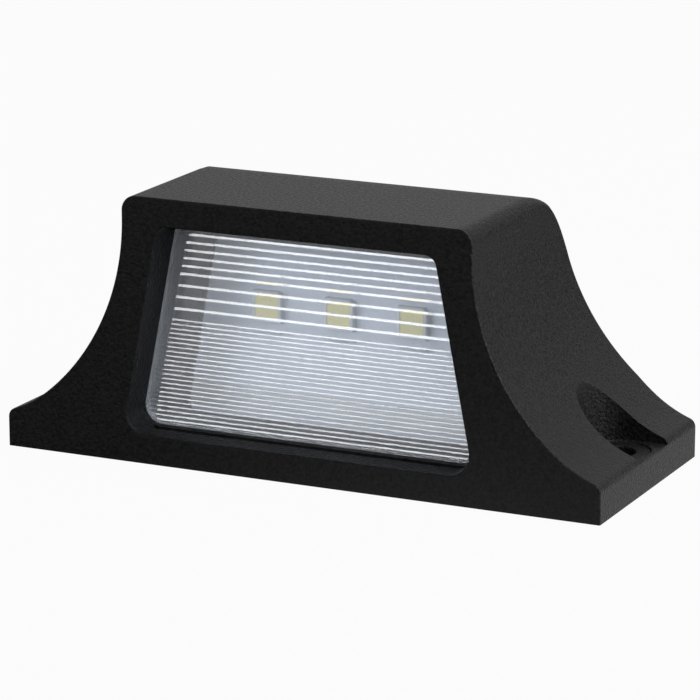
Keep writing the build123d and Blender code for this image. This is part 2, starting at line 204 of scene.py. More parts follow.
# White solder mask: glossy, with the 0.4 mm weave of the laminate just showing through.
solder_mask = uneven("white_solder_mask", "#d4d7de", "#dcdfe5", size=0.4, rough=(0.28, 0.4), relief=0.02)
# White polyphthalamide of the LED package: satin and slightly chalky.
led_moulding = uneven("white_polyphthalamide", "#dcdee1", "#e4e5e7", size=0.3, rough=(0.4, 0.55), relief=0.02)
# Silicone with phosphor: pale yellow when the LED is off, smooth and a little wet.
phosphor_silicone = uneven(
    "phosphor_silicone", "#f0e2a0", "#f5e8ae", size=0.25, rough=(0.22, 0.32), relief=0.02)
print("materials:", len(bpy.data.materials))

# %% [markdown]
# ## Finishes of the small parts
# The parts on the board's back are moulded epoxy, fired ceramic and tinned copper. The underside adds
# rubber, plated steel and a second black plastic. All of them can use the same pattern with other colours
# and sizes.

# %% Small-part finishes
# Black epoxy of moulded chips: dull with a fine filler grain.
epoxy = uneven("moulded_epoxy", "#202022", "#2b2b2d", size=0.15, rough=(0.5, 0.65), relief=0.02)
# Tinned copper: bright grey metal, softened by the solder's own skin.
tinned_copper = uneven(
    "tinned_copper", "#bfc1c4", "#d3d5d8", size=0.6, rough=(0.24, 0.4), relief=0.03, Metallic=1.0)
# Barium titanate ceramic of the capacitor: matt tan.
tan_ceramic = uneven("barium_titanate_ceramic", "#9a7a55", "#ab8a63", size=0.2, rough=(0.5, 0.6), relief=0.01)
# Glazed alumina of the resistors: near black, with a glassy coat.
glazed_alumina = uneven("glazed_alumina", "#1d1e22", "#26272b", size=0.3, rough=(0.2, 0.3), relief=0.01)
# EPDM rubber of seals and grommet: soft charcoal with no clear highlight.
epdm = uneven("epdm_rubber", "#1b1b1b", "#252524", size=0.5, rough=(0.7, 0.85), relief=0.04)
# Zinc-plated steel of the screws: bluish bright metal with a slight bloom.
zinc_steel = uneven(
    "zinc_plated_steel", "#b9bdc2", "#cfd2d6", size=1.2, rough=(0.22, 0.38), relief=0.01, Metallic=1.0)
# ABS of the base plate: the same black, from a coarser, bead-blasted tool half.
base_abs = uneven("blasted_black_abs", "#1c1c1d", "#242426", size=0.45, rough=(0.5, 0.66), relief=0.05)
print("materials:", len(bpy.data.materials))

# %% [markdown]
# ## The housing's outside
# Seen from the front the housing is a flat top, two hollow flanks and two low feet. Each flank is a wide
# arc that runs out over the foot in a tighter one. Seen from the end the back leans in and rolls over into
# the top. Every point of the front outline can therefore be drawn straight back until it meets that leaning
# back. Rows of the outline, set in a little near the front and the back, give the narrow round that a mould
# leaves along its edges.

# %% Arcs of the flanks
LENGTH, DEPTH, HEIGHT = 100.0, 41.0, 42.3
TOP_WIDTH, CHEEK_HEIGHT, FOOT_HEIGHT = 58.4, 3.7, 5.8
TURN_X, TURN_Z = 43.0, 9.55
FRONT_Y = -DEPTH / 2

# The wide arc starts upright under the cheek and ends at the turn
flank_z = HEIGHT - CHEEK_HEIGHT
flank_run, flank_drop = TURN_X - TOP_WIDTH / 2, flank_z - TURN_Z
flank_radius = (flank_run ** 2 + flank_drop ** 2) / (2 * flank_run)
flank_x = TOP_WIDTH / 2 + flank_radius
turn = asin(flank_drop / flank_radius)
# The tight arc goes on from there in the same direction, to the end of the foot
toe_run, toe_drop = LENGTH / 2 - TURN_X, TURN_Z - FOOT_HEIGHT
toe_radius = (toe_run ** 2 + toe_drop ** 2) / (2 * (toe_run * cos(turn) - toe_drop * sin(turn)))
toe_x, toe_z = TURN_X + toe_radius * cos(turn), TURN_Z + toe_radius * sin(turn)
print("flank arcs in mm:", round(flank_radius, 2), round(toe_radius, 2))

# %% Front outline
FOOT_ROUND, TOP_ROUND, INNER_ROUND = 1.5, 2.4, 0.2
FOOT_STEPS, TOE_STEPS, FLANK_STEPS, TOP_STEPS = 8, 14, 60, 14
BACK_FOOT = 12.0


def sweep(start, stop, steps):
    """Evenly spaced angles from one to another, in radians."""
    return [start + (stop - start) * i / steps for i in range(steps + 1)]


def front_outline(inset, bottom, lift=0.0):
    """Outline from the right foot over the top to the left foot, set in, and its top less if lifted."""
    foot, top = max(FOOT_ROUND - inset, INNER_ROUND), max(TOP_ROUND - inset, INNER_ROUND)
    toe, flank = toe_radius + inset, flank_radius + inset
    foot_x = LENGTH / 2 - inset - foot
    foot_z = toe_z - sqrt((toe + foot) ** 2 - (toe_x - foot_x) ** 2)
    foot_turn = asin((toe_z - foot_z) / (toe + foot))
    top_x, top_z = TOP_WIDTH / 2 - inset - top, HEIGHT - inset - top
    # One more point lies at the height where the back starts to lean
    flank_turns = sweep(turn, 0, FLANK_STEPS)[1:] + [asin((flank_z - BACK_FOOT) / flank_radius)]
    flank_turns.sort(reverse=True)
    right = [(LENGTH / 2 - inset, bottom)]
    right += [(foot_x + foot * cos(a), foot_z + foot * sin(a)) for a in sweep(0, foot_turn, FOOT_STEPS)]
    right += [(toe_x - toe * cos(a), toe_z - toe * sin(a)) for a in sweep(foot_turn, turn, TOE_STEPS)[1:]]
    right += [(flank_x - flank * cos(a), flank_z - flank * sin(a)) for a in flank_turns]
    right += [(top_x + top * cos(a), top_z + (top + lift) * sin(a)) for a in sweep(0, pi / 2, TOP_STEPS)]
    return right + [(-x, z) for x, z in reversed(right)]


print("points of the front outline:", len(front_outline(0.0, 0.0)))

# %% Back line
BACK_LEAN, CROWN_ROUND = radians(12.4), 14.0
crown_z = HEIGHT - CROWN_ROUND
crown_y = DEPTH / 2 - (crown_z - BACK_FOOT) * tan(BACK_LEAN) - CROWN_ROUND / cos(BACK_LEAN)


def back_line(z, inset):
    """How far back the housing reaches at a height, set in by a distance."""
    radius = CROWN_ROUND - inset
    if z > crown_z + radius * sin(BACK_LEAN):
        return crown_y + sqrt(max(radius ** 2 - (z - crown_z) ** 2, 0.0))
    leaning = DEPTH / 2 - (z - BACK_FOOT) * tan(BACK_LEAN) - inset / cos(BACK_LEAN)
    return min(DEPTH / 2 - inset, leaning)


print("the back starts at", back_line(0.0, 0.0), "mm and ends at", round(back_line(HEIGHT, 0.0), 2))

# %% [markdown]
# ## A closed skin
# A mesh is a list of points and a list of faces. Rows of equal length are joined by a wall of quads. What
# closes the ends differs: the housing's front and back are strips of quads from one flank to the other.
# Every skin is turned outwards before it is used, because a boolean needs to know which side is plastic.

# %% Skin helpers
def piece_from(name, points, faces, material):
    """A mesh object from points in millimetres, with the faces of a solid turned outwards."""
    mesh = bpy.data.meshes.new(name)
    mesh.from_pydata([Vector(p) / 1000 for p in points], [], faces)
    form = bmesh.new()
    form.from_mesh(mesh)
    bmesh.ops.recalc_face_normals(form, faces=form.faces)
    if form.calc_volume(signed=True) < 0:
        bmesh.ops.reverse_faces(form, faces=form.faces)
    form.to_mesh(mesh)
    form.free()
    mesh.materials.append(material)
    piece = bpy.data.objects.new(name, mesh)
    scene.collection.objects.link(piece)
    return piece


def wall_faces(count, size, ring=False):
    """Quads from each row of points to the next, and in a ring from the last row back to the first."""
    faces = []
    for k in range(count if ring else count - 1):
        near, far = k * size, (k + 1) % count * size
        for i in range(size):
            j = (i + 1) % size
            faces.append((near + i, near + j, far + j, far + i))
    return faces


print("quads of a wall of 2 rows of 4 points:", len(wall_faces(2, 4)))

# %% Housing blank
FRONT_EDGE, BACK_EDGE = 0.25, 1.0
FRONT_STEPS, BACK_STEPS = 4, 6
# Keeps the rows of the back edge apart at the top, where the crown brings them together
ROW_GAP = 0.02


def shell_form(name, inset, bottom, front_edge, back_edge):
    """The housing's form, or the hollow inside it when it is set in by the wall."""
    loops = []
    for a in sweep(0, pi / 2, FRONT_STEPS) if front_edge else [pi / 2]:
        row = front_outline(inset + front_edge * (1 - sin(a)), bottom)
        loops.append([(x, FRONT_Y + inset + front_edge * (1 - cos(a)), z) for x, z in row])
    for a in sweep(0, pi / 2, BACK_STEPS) if back_edge else [pi / 2]:
        inwards, short = back_edge * (1 - cos(a)), 1 - sin(a)
        row = front_outline(inset + inwards, bottom, inwards)
        loops.append([(x, back_line(z, inset + back_edge * short) - ROW_GAP * short, z) for x, z in row])
    size = len(loops[0])
    points = [p for loop in loops for p in loop]
    faces = wall_faces(len(loops), size)
    for first in (0, len(points) - size):
        for i in range(size // 2 - 1):
            faces.append((first + i, first + i + 1, first + size - 2 - i, first + size - 1 - i))
    return piece_from(name, points, faces, moulded_abs)


housing = shell_form("moulded_housing", 0.0, 0.0, FRONT_EDGE, BACK_EDGE)
print("housing blank faces:", len(housing.data.polygons))

# %% [markdown]
# ## The window's outline
# The window is a trapezoid with rounded corners, wider at its sill. Everything behind it keeps that outline
# and only sets it in: the recess, the seat of the lens, the lip, the light tunnel and the slot for the
# board. So one function draws the outline at any depth and inset, and the lens can use its corners too.

# %% Window outline
WINDOW_SILL, WINDOW_HEAD = 4.5, 37.8
SILL_WIDTH, HEAD_WIDTH = 59.4, 46.2
SILL_ROUND, HEAD_ROUND, LEAST_ROUND = 3.6, 1.9, 0.3
SILL_STEPS, HEAD_STEPS = 14, 10
side_lean = (SILL_WIDTH - HEAD_WIDTH) / 2 / (WINDOW_HEAD - WINDOW_SILL)
side_turn = atan(side_lean)


def straight_half(z, inset):
    """Half the window's width at a height, before its corners are rounded."""
    return SILL_WIDTH / 2 - side_lean * (z - WINDOW_SILL) - inset * hypot(1, side_lean)


def window_corners(inset):
    """Middle x, middle z and radius of the right-hand sill corner and head corner."""
    low = max(SILL_ROUND - inset, LEAST_ROUND)
    high = max(HEAD_ROUND - inset, LEAST_ROUND)
    low_z = WINDOW_SILL + inset + low
    high_z = WINDOW_HEAD - inset - high
    low_x = straight_half(low_z, inset + low)
    high_x = straight_half(high_z, inset + high)
    return (low_x, low_z, low), (high_x, high_z, high)


def window_loop(y, inset):
    """The window's outline in a plane across the lamp."""
    low, high = window_corners(inset)
    low_turns, high_turns = sweep(-pi / 2, side_turn, SILL_STEPS), sweep(side_turn, pi / 2, HEAD_STEPS)
    right = [(low[0] + low[2] * cos(a), low[1] + low[2] * sin(a)) for a in low_turns]
    right += [(high[0] + high[2] * cos(a), high[1] + high[2] * sin(a)) for a in high_turns]
    return [(x, y, z) for x, z in right] + [(-x, y, z) for x, z in reversed(right)]


print("lean of the window's sides in degrees:", round(degrees(side_turn), 2))

# %% [markdown]
# ## Cutting one solid out of another
# A loft joins a stack of outlines into one closed solid, with a flat cap at each end. An exact boolean then
# takes one solid out of another, as a mould core does. What a modifier gives is kept as a plain mesh
# straight away, so that nothing is left to change it later.

# %% Loft and boolean helpers
def loft(name, loops, material, ring=False):
    """A solid through loops of equal length, capped at its ends or closed into a ring."""
    size = len(loops[0])
    points = [p for loop in loops for p in loop]
    faces = wall_faces(len(loops), size, ring)
    if not ring:
        faces.append(tuple(range(size)))
        faces.append(tuple(range(len(points) - size, len(points))))
    return piece_from(name, points, faces, material)


def settle(piece):
    """Keep what a piece's modifiers give as its plain mesh, and remove them."""
    depsgraph = bpy.context.evaluated_depsgraph_get()
    mesh = bpy.data.meshes.new_from_object(piece.evaluated_get(depsgraph), depsgraph=depsgraph)
    piece.modifiers.clear()
    piece.data = mesh


def carve(piece, tool):
    """Take one solid out of another, and delete the tool."""
    cut = piece.modifiers.new("cut", "BOOLEAN")
    cut.solver = "EXACT"
    cut.operation = "DIFFERENCE"
    cut.object = tool
    settle(piece)
    bpy.data.objects.remove(tool)


print("piece to be hollowed:", housing.name)

# %% [markdown]
# ## The hollow
# A moulding keeps one wall thickness, so the inside is the outside set in by 2.5 mm. The window frame, the
# tunnel, the two screw columns and the four bosses stand in that hollow. They are taken out of the core
# first, because what the core leaves standing is what the plastic fills.

# %% Plans of columns, bosses and boxes
HOLE_X, HOLE_Y = 43.75, 1.5
CIRCLE, HALF_CIRCLE = 64, 32


def level_circle(radius, x, y, z):
    """A circle about an upright axis."""
    return [(x + radius * cos(a), y + radius * sin(a), z) for a in sweep(0, 2 * pi, CIRCLE)[:-1]]


def box_loops(low, high):
    """Two level rectangles that bound a box."""
    corners = [(low[0], low[1]), (high[0], low[1]), (high[0], high[1]), (low[0], high[1])]
    return [[(x, y, z) for x, y in corners] for z in (low[2], high[2])]


def column_loop(side, radius, reach, z):
    """Plan of a screw column: round towards the middle and straight out to the end."""
    turns = sweep(pi / 2, 3 * pi / 2, HALF_CIRCLE)
    arc = [(HOLE_X + radius * cos(a), HOLE_Y + radius * sin(a)) for a in turns]
    plan = [(reach, HOLE_Y + radius)] + arc + [(reach, HOLE_Y - radius)]
    return [(side * x, y, z) for x, y in plan]


print("points of a circle:", CIRCLE)

# %% Core of the hollow
WALL, SHELF = 2.5, 1.2
COLUMN_RADIUS, BOSS_RADIUS, BOSS_FOOT = 7.9, 2.9, 2.0
SCREW_X, SCREW_Y = 34.9, 14.5
LIP_Y, TUNNEL_END, SLOT_BACK, CHANNEL_BACK = -11.8, -1.9, -0.05, 1.15
FRAME_WALL, TUNNEL_WALL, LIP_DEPTH, MOUTH_TOP = 1.7, 0.3, 2.0, 10.0
# Cutting tools stand past the faces that they cut: by a little, or below, above and beyond the whole lamp
CLEAR, BELOW, ABOVE, BEYOND = 1.0, -2.0, 50.0, 60.0

core = shell_form("core", WALL, -CLEAR, 0.0, 0.0)
lip_back = LIP_Y + LIP_DEPTH
sleeve_rows = [(FRONT_Y, -FRAME_WALL), (lip_back, -FRAME_WALL)]
sleeve_rows += [(lip_back, -TUNNEL_WALL), (CHANNEL_BACK, -TUNNEL_WALL)]
sleeve = loft("sleeve", [window_loop(y, inset) for y, inset in sleeve_rows], moulded_abs)
mouth = box_loops((-BEYOND, TUNNEL_END, BELOW), (BEYOND, CHANNEL_BACK + CLEAR, MOUTH_TOP))
carve(sleeve, loft("mouth", mouth, moulded_abs))
carve(core, sleeve)
for side in (-1, 1):
    column = [column_loop(side, COLUMN_RADIUS + SHELF, BEYOND, z) for z in (BELOW, ABOVE)]
    carve(core, loft("column", column, moulded_abs))
    for y in (-SCREW_Y, SCREW_Y):
        boss = [level_circle(BOSS_RADIUS, side * SCREW_X, y, z) for z in (BOSS_FOOT, ABOVE)]
        carve(core, loft("boss", boss, moulded_abs))
carve(housing, core)
print("hollow housing faces:", len(housing.data.polygons))

# %% [markdown]
# ## The window, the base opening and the screw pockets
# One loft with steps cuts all that lies behind the window at once, and its first rows flare out to round
# the edge of the recess. A narrow groove along the sill shows as a black line under the lens. From below,
# the base plate gets an opening as deep as the plate and its seal. In each foot a pocket is open towards
# the end, with a shallow seat for a washer and a hole for the fixing screw.

# %% Window
LIP_FLARE, FLARE_STEPS = 0.25, 4
RECESS_Y, RECESS_DRAFT = -15.5, 0.25
TUNNEL_INSET, SLOT_INSET, CHANNEL_INSET = 2.3, 1.1, 2.6
GROOVE_BOX = ((-26.5, -16.8, 4.0), (26.5, -15.6, 5.5))
window_rows = [(FRONT_Y - CLEAR, -LIP_FLARE)]
for a in sweep(0, pi / 2, FLARE_STEPS):
    window_rows.append((FRONT_Y + LIP_FLARE * (1 - cos(a)), -LIP_FLARE * (1 - sin(a))))
window_rows += [(RECESS_Y, RECESS_DRAFT), (LIP_Y, RECESS_DRAFT)]
window_rows += [(LIP_Y, TUNNEL_INSET), (TUNNEL_END, TUNNEL_INSET)]
window_rows += [(TUNNEL_END, SLOT_INSET), (SLOT_BACK, SLOT_INSET)]
window_rows += [(SLOT_BACK, CHANNEL_INSET), (CHANNEL_BACK + CLEAR, CHANNEL_INSET)]
carve(housing, loft("window", [window_loop(y, inset) for y, inset in window_rows], moulded_abs))
carve(housing, loft("groove", box_loops(*GROOVE_BOX), moulded_abs))
print("rows of the window's tool:", len(window_rows))

# %% Base opening
RIM, BASE_STACK = 1.3, 2.8
rim_x, rim_y = LENGTH / 2 - RIM, DEPTH / 2 - RIM
right_end = [(x, y) for x, y, z in column_loop(1, COLUMN_RADIUS, rim_x, 0)]
base_plan = [(rim_x, rim_y)] + right_end + [(rim_x, -rim_y)]
base_plan += [(-x, y) for x, y in reversed(base_plan)]
base_opening = [[(x, y, z) for x, y in base_plan] for z in (-CLEAR, BASE_STACK)]
carve(housing, loft("base_opening", base_opening, moulded_abs))
print("points of the base opening:", len(base_plan))

# %% Screw pockets and pilot holes
POCKET_RADIUS, POCKET_FLOOR = 6.1, 5.1
SEAT_RADIUS, SEAT_FLOOR, HOLE_RADIUS, EDGE = 5.3, 4.85, 3.0, 0.2
PILOT_RADIUS, PILOT_DEPTH = 1.5, 9.7
hole_rows = [(HOLE_RADIUS + 2 * EDGE, -EDGE), (HOLE_RADIUS, EDGE)]
hole_rows += [(HOLE_RADIUS, SEAT_FLOOR - EDGE), (HOLE_RADIUS + EDGE, SEAT_FLOOR)]
hole_rows += [(SEAT_RADIUS, SEAT_FLOOR), (SEAT_RADIUS + 2 * EDGE, POCKET_FLOOR + EDGE)]
for side in (-1, 1):
    pocket = [column_loop(side, POCKET_RADIUS, BEYOND, z) for z in (POCKET_FLOOR, BEYOND)]
    carve(housing, loft("pocket", pocket, moulded_abs))
    hole = [level_circle(radius, side * HOLE_X, HOLE_Y, z) for radius, z in hole_rows]
    carve(housing, loft("hole", hole, moulded_abs))
    for y in (-SCREW_Y, SCREW_Y):
        pilot = [level_circle(PILOT_RADIUS, side * SCREW_X, y, z) for z in (0, PILOT_DEPTH)]
        carve(housing, loft("pilot", pilot, moulded_abs))
print("housing faces after the last cut:", len(housing.data.polygons))

# %% [markdown]
# ## Finishing a piece
# Shading is smooth across the small angles of a round and sharp at true edges, and weighted normals keep
# large flat faces flat. Then the piece rides on the root body, and the nodes of the solid model that it
# stands for are hidden.

# %% Finished housing
def soften(piece, angle):
    """Smooth shading up to an angle, with large flat faces kept flat."""
    piece.data.shade_smooth()
    piece.data.set_sharp_from_angle(angle=radians(angle))
    weighted = piece.modifiers.new("weighted", "WEIGHTED_NORMAL")
    weighted.keep_sharp = True
    settle(piece)


def dress(piece, slot, *nodes):
    """Put a finished piece on the root body, and hide the nodes of the solid model that it stands for."""
    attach(piece, "root")
    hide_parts(*nodes)
    print(piece.name, "faces:", len(piece.data.polygons))


soften(housing, angle=30)
dress(housing, "black_plastic", "housing")

# %% [markdown]
# ## The lens
# The lens is a flat plate with a bright, bare margin and a field of level ribs: five medium ones at the
# top, four wide ones in front of the LEDs, and fine ones below. Each rib is a little prism: a short facet
# that looks up, and a long face that runs back to the next groove. The fine ones stand on a ledge, so their
# long faces look down more. The plate is laid out in rows at just the heights where a rib bends, and a
# Geometry Nodes tree then presses the ribs out of it from a handful of named sizes. One surface is left,
# with no faces inside, which is what refraction needs.

# %% Rib sizes
RIB_HEAD = 36.05
FACET_SLOPE, LEDGE_SLOPE = 0.268, 10.0
# Count, pitch, height of the facet and depth of the ledge above it
RIB_ZONES = {
    "Upper": (5, 1.26, 0.34, 0.0),
    "Middle": (4, 1.87, 0.38, 0.0),
    "Lower": (23, 0.74, 0.2, 0.09),
}


def rib_levels():
    """Heights at which a rib bends, from the top one to the lowest."""
    levels = []
    top = RIB_HEAD
    for count, pitch, facet, ledge in RIB_ZONES.values():
        for i in range(count):
            levels += [top, top - ledge / (LEDGE_SLOPE - FACET_SLOPE), top - facet]
            top -= pitch
    return levels + [top]


print("lowest rib ends at", round(min(rib_levels()), 2), "mm")

# %% Rows of the lens
LENS_INSET, LENS_EDGE = 0.55, 0.2
LOW_ROWS, HIGH_ROWS, LEAST_STEP = 16, 12, 0.004
face_inset = LENS_INSET + LENS_EDGE
sill_corner, head_corner = window_corners(face_inset)
levels = rib_levels()
levels += [sill_corner[1] + sill_corner[2] * sin(a) for a in sweep(-pi / 2, side_turn, LOW_ROWS)]
levels += [head_corner[1] + head_corner[2] * sin(a) for a in sweep(side_turn, pi / 2, HIGH_ROWS)]
levels.sort()
lens_levels = [z for i, z in enumerate(levels) if i == 0 or z - levels[i - 1] > LEAST_STEP]
print("rows of the lens:", len(lens_levels))

# %% Outline of the lens
def lens_half(z):
    """Half the width of the lens's flat face at a height."""
    for (x, middle, radius), low in ((sill_corner, True), (head_corner, False)):
        tangent = middle + radius * sin(side_turn)
        if (z < tangent) if low else (z > tangent):
            return x + sqrt(max(radius ** 2 - (z - middle) ** 2, 0.0))
    return straight_half(z, face_inset)


def lens_normal(x, z):
    """Direction out of the lens's rim, in its own plane."""
    side = 1 if x > 0 else -1
    if z == lens_levels[0]:
        return 0.0, -1.0
    if z == lens_levels[-1]:
        return 0.0, 1.0
    for (cx, cz, radius), low in ((sill_corner, True), (head_corner, False)):
        tangent = cz + radius * sin(side_turn)
        if (z < tangent) if low else (z > tangent):
            return (x - side * cx) / radius, (z - cz) / radius
    return side * cos(side_turn), sin(side_turn)


print("width of the lens at mid height in mm:", round(2 * lens_half((WINDOW_SILL + WINDOW_HEAD) / 2), 2))

# %% Face of the lens
LENS_FACE = -15.2437
RIB_MARGIN, RIB_END, LEAST_MARGIN = 1.4, 0.12, 0.6
lens_points, lens_reach = [], []
for z in lens_levels:
    half = lens_half(z)
    field = min(straight_half(z, RIB_MARGIN), half - LEAST_MARGIN)
    right = [(field, 1), (field + RIB_END, 0), (half, 0)]
    for x, reach in [(-x, reach) for x, reach in reversed(right)] + right:
        lens_points.append((x, LENS_FACE, z))
        lens_reach.append(reach)
rows, columns = len(lens_levels), 6
lens_faces = []
for first in range(0, (rows - 1) * columns, columns):
    for i in range(first, first + columns - 1):
        lens_faces.append((i, i + 1, i + columns + 1, i + columns))
print("points on the lens's face:", len(lens_points))

# %% Edge and back of the lens
LENS_BACK, EDGE_STEPS = -12.3, 12
# Once round the face: along the sill, up the right side, back along the head and down the left side
last = (rows - 1) * columns
rim = [*range(columns), *range(2 * columns - 1, last + columns, columns)]
rim += [*range(last + columns - 2, last - 1, -1), *range(last - columns, 0, -columns)]
edge_rows = [(sin(a), LENS_FACE + LENS_EDGE * (1 - cos(a))) for a in sweep(0, pi / 2, EDGE_STEPS)[1:]]
edge_rows += [(sin(a), LENS_BACK - LENS_EDGE * (1 - cos(a))) for a in sweep(pi / 2, 0, EDGE_STEPS)]
ring = rim
for share, y in edge_rows:
    outer = [len(lens_points) + k for k in range(len(rim))]
    for i in rim:
        x, _, z = lens_points[i]
        nx, nz = lens_normal(x, z)
        lens_points.append((x + LENS_EDGE * share * nx, y, z + LENS_EDGE * share * nz))
        lens_reach.append(0)
    for k in range(len(rim)):
        j = (k + 1) % len(rim)
        lens_faces.append((ring[k], ring[j], outer[j], outer[k]))
    ring = outer
# The back is a strip of quads between the two sides, and its end faces take in the sill row and the head row
sill_row, head_row = ring[:columns], ring[columns + rows - 2:2 * columns + rows - 2]
right_side = ring[columns - 1:columns - 1 + rows]
left_side = [ring[0]] + ring[:2 * columns + rows - 4:-1]
lens_faces.append((*sill_row, right_side[1], left_side[1]))
for r in range(1, rows - 2):
    lens_faces.append((left_side[r], right_side[r], right_side[r + 1], left_side[r + 1]))
lens_faces.append((*head_row, left_side[-2], right_side[-2]))
lens = piece_from("ribbed_lens", lens_points, lens_faces, polycarbonate)
reach = lens.data.attributes.new("rib_reach", "FLOAT", "POINT")
reach.data.foreach_set("value", [float(v) for v in lens_reach])
print("lens blank points:", len(lens_points))

# %% [markdown]
# ## Geometry Nodes from a script
# A tree has named inputs for its sizes. A modifier runs it, with each input set by the identifier of its
# socket. Every tree here ends in real geometry with one material, and the result is kept as a plain mesh.

# %% Geometry Nodes helpers
def new_tree(name, sockets):
    """A geometry tree with named inputs, and the outputs of its input node."""
    tree = bpy.data.node_groups.new(name, "GeometryNodeTree")
    tree.interface.new_socket(name="Geometry", in_out="INPUT", socket_type="NodeSocketGeometry")
    for label, kind in sockets.items():
        tree.interface.new_socket(name=label, in_out="INPUT", socket_type="NodeSocket" + kind)
    tree.interface.new_socket(name="Geometry", in_out="OUTPUT", socket_type="NodeSocketGeometry")
    print("tree", name, "has inputs:", ", ".join(sockets))
    return tree, add(tree, "NodeGroupInput").outputs


def end_tree(tree, geometry, material):
    """Close a tree with real geometry in one material."""
    real = add(tree, "GeometryNodeRealizeInstances", {"Geometry": geometry}).outputs["Geometry"]
    coated = add(tree, "GeometryNodeSetMaterial", {"Geometry": real, "Material": material})
    add(tree, "NodeGroupOutput", {"Geometry": coated.outputs["Geometry"]})


def run_tree(piece, tree, values):
    """Run a tree on a piece with its named inputs set, and keep the result as a plain mesh."""
    modifier = piece.modifiers.new(tree.name, "NODES")
    modifier.node_group = tree
    for item in tree.interface.items_tree:
        if item.in_out == "INPUT" and item.name in values:
            modifier[item.identifier] = values[item.name]
    settle(piece)


print("trees before the first one is built:", len(bpy.data.node_groups))

# %% Section of a rib
# Each row is one sum: its name, what it does and its two terms, of which FRACT uses only the first.
# Each zone of ribs goes through all of them.
RIB_SUMS = (
    ("depth", "SUBTRACT", "zone top", "height"),
    ("turns", "DIVIDE", "depth", "Pitch"),
    ("part", "FRACT", "turns", "zero"),
    ("below", "MULTIPLY", "part", "Pitch"),
    ("on ledge", "MULTIPLY", "below", "Ledge Slope"),
    ("rise", "MULTIPLY", "below", "Facet Slope"),
    ("on facet", "ADD", "Ledge", "rise"),
    ("full rise", "MULTIPLY", "Facet", "Facet Slope"),
    ("crest", "ADD", "Ledge", "full rise"),
    ("rest", "SUBTRACT", "Pitch", "below"),
    ("long face", "SUBTRACT", "Pitch", "Facet"),
    ("left", "DIVIDE", "rest", "long face"),
    ("on long face", "MULTIPLY", "crest", "left"),
    ("front", "MINIMUM", "on ledge", "on facet"),
    ("section", "MINIMUM", "front", "on long face"),
    ("begun", "GREATER_THAN", "turns", "zero"),
    ("unfinished", "LESS_THAN", "turns", "Count"),
    ("inside", "MULTIPLY", "begun", "unfinished"),
    ("zone height", "MULTIPLY", "section", "inside"),
    ("rib height", "ADD", "rib height", "zone height"),
    ("zone length", "MULTIPLY", "Count", "Pitch"),
    ("zone top", "SUBTRACT", "zone top", "zone length"),
)
print("sums for each zone:", len(RIB_SUMS))

# %% Rib tree
RIB_SIZES = ("Pitch", "Facet", "Ledge")
rib_inputs = {"Head": "Float", "Facet Slope": "Float", "Ledge Slope": "Float", "Material": "Material"}
for zone in RIB_ZONES:
    rib_inputs[f"{zone} Count"] = "Int"
    rib_inputs.update({f"{zone} {size}": "Float" for size in RIB_SIZES})
rib_tree, given = new_tree("press_ribs", rib_inputs)
position = add(rib_tree, "GeometryNodeInputPosition").outputs[0]
height = add(rib_tree, "ShaderNodeSeparateXYZ", {"Vector": position}).outputs["Z"]
terms = {"zone top": given["Head"], "height": height, "rib height": 0.0, "zero": 0.0}
terms.update({slope: given[slope] for slope in ("Facet Slope", "Ledge Slope")})
for zone in RIB_ZONES:
    terms.update({size: given[f"{zone} {size}"] for size in ("Count", *RIB_SIZES)})
    for name, operation, one, other in RIB_SUMS:
        result = add(rib_tree, "ShaderNodeMath", {0: terms[one], 1: terms[other]}, operation=operation)
        terms[name] = result.outputs[0]
reach = add(rib_tree, "GeometryNodeInputNamedAttribute", {"Name": "rib_reach"}, data_type="FLOAT").outputs[0]
forward = add(rib_tree, "ShaderNodeMath", {0: reach, 1: -1.0}, operation="MULTIPLY").outputs[0]
shift = {0: terms["rib height"], 1: forward}
offset = add(rib_tree, "ShaderNodeMath", shift, operation="MULTIPLY").outputs[0]
push = add(rib_tree, "ShaderNodeCombineXYZ", {"Y": offset}).outputs[0]
pressed = add(rib_tree, "GeometryNodeSetPosition", {"Geometry": given["Geometry"], "Offset": push})
end_tree(rib_tree, pressed.outputs["Geometry"], given["Material"])

# %% Ribbed lens
rib_values = {
    "Head": RIB_HEAD / 1000,
    "Facet Slope": FACET_SLOPE,
    "Ledge Slope": LEDGE_SLOPE,
    "Material": polycarbonate,
}
for zone, (count, *sizes) in RIB_ZONES.items():
    rib_values[f"{zone} Count"] = count
    rib_values.update({f"{zone} {name}": size / 1000 for name, size in zip(RIB_SIZES, sizes)})
run_tree(lens, rib_tree, rib_values)
lens.data.attributes.remove(lens.data.attributes["rib_reach"])
soften(lens, angle=9)
dress(lens, "clear_plastic", "lens")

# %% [markdown]
# ## The LEDs
# Three LEDs sit in a row on the board, each a five millimetre white package with one cut corner, a shallow
# cup and a fill of yellow phosphor. The package and the fill are made once. A small tree repeats a piece
# along a line, so the same tree lays out the packages and the fills.

# %% LED row tree
row_tree, given = new_tree("repeat_in_row", {
    "Piece": "Object",
    "Count": "Int",
    "Pitch": "Float",
    "Material": "Material",
})
source = add(row_tree, "GeometryNodeObjectInfo", {"Object": given["Piece"]}, transform_space="ORIGINAL")
gaps = add(row_tree, "ShaderNodeMath", {0: given["Count"], 1: 1.0}, operation="SUBTRACT").outputs[0]
run = add(row_tree, "ShaderNodeMath", {0: gaps, 1: given["Pitch"]}, operation="MULTIPLY").outputs[0]
first = add(row_tree, "ShaderNodeMath", {0: run, 1: -0.5}, operation="MULTIPLY").outputs[0]
line = add(row_tree, "GeometryNodeMeshLine", {
    "Count": given["Count"],
    "Start Location": add(row_tree, "ShaderNodeCombineXYZ", {"X": first}).outputs[0],
    "Offset": add(row_tree, "ShaderNodeCombineXYZ", {"X": given["Pitch"]}).outputs[0],
})
spread = add(row_tree, "GeometryNodeInstanceOnPoints", {
    "Points": line.outputs["Mesh"],
    "Instance": source.outputs["Geometry"],
})
